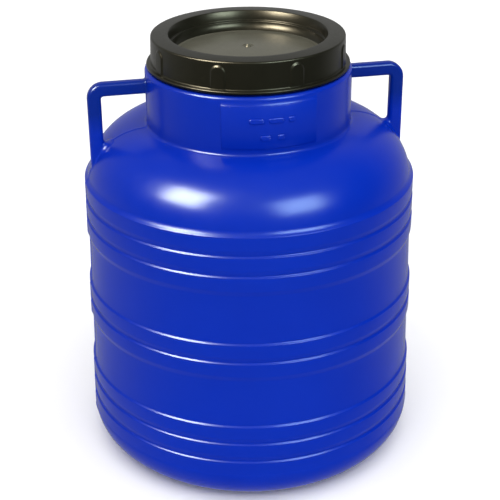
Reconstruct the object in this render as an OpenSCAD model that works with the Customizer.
// Wide-neck fermenting barrel: blow-moulded body with two moulded loop handles,
// a screw lid with a recessed top, and a flat sealing ring under the lid.
// Millimetres. +Z is up, the base stands on Z = 0 and the barrel's axis is the Z axis.
// The handles lie along X and the marking plate faces -Y.

/* [Barrel body] */
// Outer diameter of the body just above the base rounding
body_d = 300; // [240:1:360]
// How much smaller the body's radius is at the uppermost band
body_taper = 4; // [0:0.5:5]
// Height of the body, from the floor to the top of the shoulder
shoulder_z = 307.5; // [256:0.5:400]
// Wall thickness of the blow-moulded barrel
wall = 2.4; // [1.6:0.1:4]
// Radius of the rounding between base and side
base_round = 33.5; // [20:0.5:41]
// Width of the ring that the base stands on
foot_ring_w = 22.5; // [12:0.5:40]
// Depth of the hollow inside that ring
push_up = 4; // [2:0.5:8]

/* [Bands] */
// Number of bands under the shoulder
upper_bands = 3; // [1:1:3]
// Number of bands at mid height
middle_bands = 2; // [1:1:2]
// Number of bands above the base
lower_bands = 3; // [1:1:3]
// Height from the uppermost band to the top of the shoulder
shoulder_h = 45.5; // [38:0.5:55]
// Height of the lowest band above the base rounding
lowest_band_h = 14.5; // [12:0.5:20]
// Height from one band to the next
band_pitch = 18; // [15:0.5:21.5]
// How far a band stands out
band_step = 1.6; // [0.8:0.1:2.5]
// Height of the sloping step above a band
band_rise = 1.5; // [1:0.5:3]
// Height of the slope below a band
band_fall = 4.5; // [3:0.5:6]

/* [Collar and neck] */
// Outer diameter of the threaded neck
neck_d = 156.4; // [130:0.2:188]
// Height of the threaded neck above the collar
neck_h = 22.5; // [20.5:0.5:30]
// How far the collar stands out from the neck
collar_step = 11.1; // [9:0.1:14]
// Height of the collar's top edge above the shoulder
collar_h = 50; // [40:0.5:70]
// Rounding of the collar's top edge
collar_round = 7; // [4:0.5:9]
// Fillet between shoulder and collar
collar_fillet = 4; // [2:0.5:6]
// Angle that the marking plate spans on the collar
plate_angle = 53; // [30:1:70]
// How far the marking plate stands out
plate_t = 0.8; // [0.5:0.1:1.5]

/* [Thread] */
// Rise of the thread in one turn
thread_pitch = 8; // [6.6:0.1:9.6]
// Number of turns on the neck
thread_turns = 1.5; // [1:0.25:1.5]
// How far a thread stands out
thread_depth = 2; // [1.5:0.1:2.4]
// Width of a thread at its foot
thread_foot = 2.8; // [2.2:0.1:3]
// Gap between a thread's crest and the wall it faces
thread_fit = 0.6; // [0.4:0.1:1]

/* [Handles] */
// How far the handle's outer face stays inside the uppermost band
handle_inset = 6; // [4:0.5:20]
// Height of the handle's top face below the collar's top edge
handle_drop = 7.3; // [5:0.1:12]
// Width of the handle bar, seen from the front
handle_w = 11.8; // [9:0.1:14.2]
// Thickness of the handle bar, front to back
handle_t = 10.5; // [8:0.1:14]
// Rounding of the handle bar's long edges
handle_edge = 3.2; // [1.5:0.1:3.8]
// Inner radius of the handle's corner
handle_corner = 2.2; // [1:0.1:8]
// Radius of the web between the handle's foot and the shoulder
handle_flare = 8; // [4:0.5:12]

/* [Lid] */
// Wall thickness of the lid
lid_wall = 2.4; // [1.8:0.1:3]
// How far the flange at the skirt's foot stands out
flange_w = 4.3; // [3:0.1:6]
// Height of that flange
flange_h = 3; // [2:0.5:4]
// Gap between the flange and the collar
flange_gap = 0.8; // [0.5:0.1:2]
// Rounding of the lid's top edge
lid_round = 2.6; // [1:0.1:3]
// Gap between the neck's bore and the lid's recessed part
plug_gap = 5.4; // [4:0.1:8]
// Depth of the ledge inside the recess
ledge_depth = 9; // [7:0.5:11]
// Width of the ledge inside the recess
ledge_w = 2.7; // [1.5:0.1:5]
// Depth of the recess floor's edge below the lid's top
recess_depth = 17.5; // [14:0.5:21]
// How far the recess floor is domed up
floor_crown = 5.5; // [0:0.5:6]
// Number of grip ribs round the skirt
ribs = 8; // [4:1:16]
// Width of a grip rib
rib_w = 12; // [6:0.5:16]
// How far a grip rib stands out
rib_t = 1.2; // [0.6:0.1:1.8]

/* [Sealing ring] */
// Thickness of the sealing ring
seal_t = 3; // [2:0.1:4]
// Gap between the ring and the lid's walls on either side of it
seal_gap = 0.4; // [0.2:0.1:0.8]

/* [Hidden] */
$fn = 128;
ARC_STEPS = 10;
DOME_STEPS = 18;
CUT = 1;

body_r = body_d / 2;
top_band_r = body_r - body_taper;
foot_r = body_r - base_round;
push_up_r = foot_r - foot_ring_w;
neck_r = neck_d / 2;
mouth_r = neck_r - wall;
collar_r = neck_r + collar_step;
collar_z = shoulder_z + collar_h;
rim_z = collar_z + neck_h;

// Tops of the three groups of bands; the middle group lies halfway between the other two.
upper_band_z = shoulder_z - shoulder_h;
lower_band_z = base_round + lowest_band_h + (lower_bands - 1) * band_pitch;
middle_band_z = (lower_band_z + upper_band_z + (middle_bands - upper_bands) * band_pitch) / 2;

// Shoulder: a superellipse from the uppermost band up to the collar. Its centre lies below
// the band and its axis inside the collar.
dome_power = 2.33;
dome_centre_drop = 16;
dome_tuck = 9.3;
dome_centre_z = upper_band_z - dome_centre_drop;
dome_axis_r = collar_r - dome_tuck;
dome_w = top_band_r - band_step - dome_axis_r;
dome_h = shoulder_z - dome_centre_z;

// Marking plate: the margin is the plain strip of collar below it.
plate_margin = 6;
plate_z0 = shoulder_z + plate_margin;
plate_z1 = collar_z - collar_round;

// Thread: its foot is sunk into the wall, and it runs out to a low tip over an angle at each end.
thread_crest = thread_foot / 2;
thread_sink = 0.6;
thread_angle_step = 10;
thread_run_out = 30;
thread_tip = 0.04;
thread_start_h = 5;
thread_start_z = collar_z + thread_start_h;
lid_thread_z = thread_start_z + thread_pitch / 2;
lid_thread_turns = thread_turns - 0.5;

// Lid: skirt, recess and recess floor widen by their draft, the first rib stands at rib_first from +X.
lid_top = rim_z + seal_t + lid_wall;
skirt_r = neck_r + thread_depth + thread_fit;
lid_r = skirt_r + lid_wall;
flange_z = collar_z + flange_gap;
plug_r = mouth_r - plug_gap;
recess_r = plug_r - lid_wall;
recess_round = 3;
recess_draft = 1;
floor_draft = 0.8;
skirt_draft = 0.6;
rib_first = 16;
rib_drop = 4.5;

// Handle: the window's lowest point lies a little below the top of the shoulder.
handle_x = top_band_r - handle_inset;
handle_inner_x = handle_x - handle_w;
handle_top = collar_z - handle_drop;
handle_foot_z = dome_z(handle_x);
handle_window_drop = 10;
handle_window_z = shoulder_z - handle_window_drop;

// Points on an arc round (x, z), from angle a0 to a1, without its first point.
function arc(x, z, r, a0, a1) =
    [for (i = [1 : ARC_STEPS]) let (a = a0 + (a1 - a0) * i / ARC_STEPS) [x + r * cos(a), z + r * sin(a)]];

// Radius of the bands' outer face at height z: a straight taper from base to top band.
function band_r(z) =
    body_r + (top_band_r - body_r) * (z - base_round) / (upper_band_z - base_round);

// One band, from the slope below it to the step above it, moved inwards by inset.
function band(top, inset) =
    let (foot = top - band_pitch, r = band_r(top) - inset)
    [
        [r - band_step, foot],
        [r, foot + band_fall],
        [r, top - band_rise],
        [r - band_step, top]
    ];

// A group of bands, listed upwards.
function band_group(top, count, inset) =
    [for (i = [count - 1 : -1 : 0]) each band(top - i * band_pitch, inset)];

// Height of the shoulder where its radius is r.
function dome_z(r) =
    dome_centre_z + dome_h * pow(1 - pow((r - dome_axis_r) / dome_w, dome_power), 1 / dome_power);

// Shoulder outline from the top band, without its first point, to radius r_end, moved inwards by inset.
function dome(inset, r_end) =
    let (
        a0 = asin(pow((upper_band_z - dome_centre_z) / dome_h, dome_power / 2)),
        a1 = acos(pow((r_end - dome_axis_r) / dome_w, dome_power / 2))
    )
    [
        for (i = [1 : DOME_STEPS])
            let (a = a0 + (a1 - a0) * i / DOME_STEPS)
            [
                dome_axis_r + dome_w * pow(cos(a), 2 / dome_power) - inset * cos(a),
                dome_centre_z + dome_h * pow(sin(a), 2 / dome_power) - inset * sin(a)
            ]
    ];

// The lowest band has no slope below it: it runs straight into the base rounding.
function side(inset) =
    concat(
        arc(body_r - base_round, base_round, base_round - inset, -90, 0),
        [for (p = band_group(lower_band_z, lower_bands, inset)) if (p.y > base_round) p],
        band_group(middle_band_z, middle_bands, inset),
        band_group(upper_band_z, upper_bands, inset)
    );

// Outer outline of the barrel, from the base's centre up to the neck's rim.
module barrel_outline() {
    collar_foot = collar_r + collar_fillet;
    polygon(concat(
        [[0, push_up], [push_up_r - push_up, push_up], [push_up_r, 0], [foot_r, 0]],
        side(0),
        dome(0, collar_foot),
        arc(collar_foot, shoulder_z + collar_fillet, collar_fillet, -90, -180),
        [[collar_r, collar_z - collar_round]],
        arc(collar_r - collar_round, collar_z - collar_round, collar_round, 0, 90),
        [[neck_r, collar_z], [neck_r, rim_z], [0, rim_z]]
    ));
}

// Inner outline of the barrel, one wall inside the outer one, open at the mouth.
module cavity_outline() {
    push_r = push_up_r + wall;
    polygon(concat(
        [[0, push_up + wall], [push_r - push_up, push_up + wall], [push_r, wall], [foot_r, wall]],
        side(wall),
        dome(wall, collar_r + collar_fillet),
        [[collar_r - wall, shoulder_z + collar_fillet], [collar_r - wall, collar_z - collar_round]],
        arc(collar_r - collar_round, collar_z - collar_round, collar_round - wall, 0, 90),
        [[mouth_r, collar_z - wall], [mouth_r, rim_z + CUT], [0, rim_z + CUT]]
    ));
}

// A thread of trapezoid section: foot at radius r0, crest at r1, its ends run out to the foot.
module thread(r0, r1, z0, turns) {
    steps = round(turns * 360 / thread_angle_step);
    run_out_steps = thread_run_out / thread_angle_step;
    function height(i) = max(thread_tip, min(1, i / run_out_steps, (steps - i) / run_out_steps));
    points = [
        for (i = [0 : steps])
            let (
                a = i * thread_angle_step,
                z = z0 + thread_pitch * a / 360,
                rc = r0 + (r1 - r0) * height(i),
                foot = thread_foot / 2,
                crest = thread_crest / 2
            )
            for (p = [[r0, z - foot], [rc, z - crest], [rc, z + crest], [r0, z + foot]])
                [p.x * cos(a), p.x * sin(a), p.y]
    ];
    last = 4 * steps;
    outwards = r1 > r0;
    function facing(f) = outwards ? f : [for (k = [len(f) - 1 : -1 : 0]) f[k]];
    sides = [
        for (i = [0 : steps - 1], k = [0 : 3])
            let (a = 4 * i + k, b = 4 * i + (k + 1) % 4)
            each [facing([a, b, b + 4]), facing([a, b + 4, a + 4])]
    ];
    polyhedron(points, concat(sides, [facing([3, 2, 1, 0]), facing([last, last + 1, last + 2, last + 3])]));
}

module barrel_outside() {
    rotate_extrude() barrel_outline();
}

// A plain raised panel on the collar.
module marking_plate() {
    rotate([0, 0, -90 - plate_angle / 2])
        translate([0, 0, plate_z0])
            rotate_extrude(angle = plate_angle)
                translate([collar_r - wall / 2, 0])
                    square([wall / 2 + plate_t, plate_z1 - plate_z0]);
}

module barrel() {
    color("mediumblue")
        union() {
            difference() {
                barrel_outside();
                rotate_extrude() cavity_outline();
            }
            marking_plate();
            thread(neck_r - thread_sink, neck_r + thread_depth, thread_start_z, thread_turns);
        }
}

// Cross-section of the handle bar: a rectangle with round corners, lying in X and Y.
module bar_section() {
    x = handle_w / 2 - handle_edge;
    y = handle_t / 2 - handle_edge;
    polygon(concat(
        arc(x, y, handle_edge, 0, 90),
        [[-x, handle_t / 2]],
        arc(-x, y, handle_edge, 90, 180),
        [[-handle_w / 2, -y]],
        arc(-x, -y, handle_edge, 180, 270),
        [[x, -handle_t / 2]],
        arc(x, -y, handle_edge, 270, 360),
        [[handle_w / 2, y]]
    ));
}

// Loop handle on the +X side, cut to the barrel's outside where it meets it.
module handle() {
    bar_x = handle_x - handle_w / 2;
    bar_z = handle_top - handle_w / 2;
    bend = handle_corner + handle_w / 2;
    difference() {
        union() {
            translate([bar_x, 0, bar_z - bend])
                mirror([0, 0, 1])
                    linear_extrude(bar_z - bend - handle_foot_z) bar_section();
            translate([bar_x - bend, 0, bar_z - bend])
                rotate([90, 0, 0])
                    rotate_extrude(angle = 90)
                        translate([bend, 0]) bar_section();
            translate([bar_x - bend, 0, bar_z])
                rotate([0, -90, 0])
                    linear_extrude(bar_x - bend - collar_r + wall) bar_section();
            handle_web();
        }
        barrel_outside();
    }
}

// Web that widens the foot of the handle towards the barrel, with a concave inner edge.
module handle_web() {
    t = handle_t - 2 * handle_edge;
    x = handle_inner_x;
    top = handle_window_z + handle_flare;
    translate([0, t / 2, 0])
        rotate([90, 0, 0])
            linear_extrude(t)
                polygon(concat(
                    [[x + handle_w / 2, handle_foot_z], [x + handle_w / 2, top], [x, top]],
                    arc(x - handle_flare, top, handle_flare, 0, -90),
                    [[x - handle_flare, handle_foot_z]]
                ));
}

module handle_left() {
    color("navy") mirror([1, 0, 0]) handle();
}

module handle_right() {
    color("navy") handle();
}

// The recess floor's outline from the axis out to (r, z), domed up in the middle.
function crowned(r, z) =
    [for (i = [0 : ARC_STEPS]) let (s = i / ARC_STEPS) [r * s, z + floor_crown * (1 - s * s)]];

// Section of the lid: flat rim, stepped recess with a domed floor, skirt and foot flange.
module lid_section() {
    rim_r = recess_r + recess_round;
    under = lid_top - lid_wall;
    ledge_z = lid_top - ledge_depth;
    floor_z = lid_top - recess_depth;
    ledge_r = recess_r - ledge_w;
    floor_r = ledge_r - floor_draft;
    flange_r = lid_r + flange_w;
    underside = crowned(floor_r + lid_wall, floor_z - lid_wall);
    polygon(concat(
        crowned(floor_r, floor_z),
        [[ledge_r, ledge_z], [recess_r - recess_draft, ledge_z], [recess_r, lid_top - recess_round]],
        arc(rim_r, lid_top - recess_round, recess_round, 180, 90),
        [[lid_r - lid_round, lid_top]],
        arc(lid_r - lid_round, lid_top - lid_round, lid_round, 90, 0),
        [[lid_r + skirt_draft, flange_z + flange_h], [flange_r, flange_z + flange_h]],
        [[flange_r, flange_z], [skirt_r, flange_z], [skirt_r, under]],
        [[plug_r, under], [plug_r, ledge_z - lid_wall], [ledge_r + lid_wall, ledge_z - lid_wall]],
        [for (i = [ARC_STEPS : -1 : 0]) underside[i]]
    ));
}

// A grip rib: an upright pad with a round head, its face following the skirt.
module grip_rib() {
    head_z = lid_top - rib_drop - rib_w / 2;
    sunk_r = lid_r - lid_wall / 2;
    length = rib_t + lid_wall;
    intersection() {
        union() {
            translate([sunk_r, -rib_w / 2, flange_z + flange_h / 2])
                cube([length, rib_w, head_z - flange_z - flange_h / 2]);
            translate([sunk_r, 0, head_z])
                rotate([0, 90, 0])
                    cylinder(h = length, d = rib_w);
        }
        cylinder(h = lid_top, r = lid_r + rib_t);
    }
}

module lid() {
    color("darkslategray")
        union() {
            rotate_extrude() lid_section();
            for (i = [0 : ribs - 1]) rotate([0, 0, rib_first + i * 360 / ribs]) grip_rib();
            thread(skirt_r + thread_sink, skirt_r - thread_depth, lid_thread_z, lid_thread_turns);
        }
}

// The flat ring between the neck's rim and the lid.
module sealing_ring() {
    color("gainsboro")
        translate([0, 0, rim_z])
            difference() {
                cylinder(h = seal_t, r = skirt_r - seal_gap);
                translate([0, 0, -CUT]) cylinder(h = seal_t + 2 * CUT, r = plug_r + seal_gap);
            }
}

barrel();
handle_left();
handle_right();
lid();
sealing_ring();
